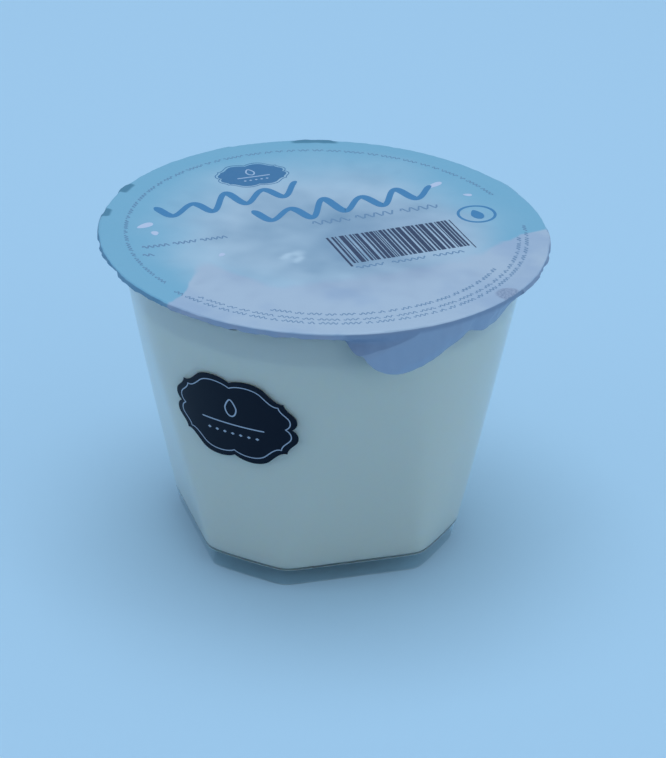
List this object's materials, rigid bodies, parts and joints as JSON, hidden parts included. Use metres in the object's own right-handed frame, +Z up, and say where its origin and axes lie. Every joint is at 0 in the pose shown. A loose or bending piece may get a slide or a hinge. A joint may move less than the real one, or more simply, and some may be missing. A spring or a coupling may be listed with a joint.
{
  "type": "yogurt pot",
  "caption": "Sealed clear plastic yogurt pot: round at the rim, eight-sided at the foot, with yogurt, a printed foil lid with a folded pull tab, and a plaque label.",
  "frame": {"origin": "middle of the foot, on the surface that the pot stands on", "axes": "+Z up along the pot's axis, -Y towards the label, the pull tab about 30 degrees from +X towards -Y"},
  "size_m": [0.0868, 0.0867, 0.0628],
  "materials": {
    "cup": "clear, glossy",
    "yogurt": "smooth, creamy, slightly glossy",
    "lid": "printed foil, satin",
    "label": "printed film, satin"
  },
  "bodies": {
    "root": {"cup": "cup", "yogurt": "yogurt", "lid": "lid", "label": "label"}
  },
  "joints": []
}
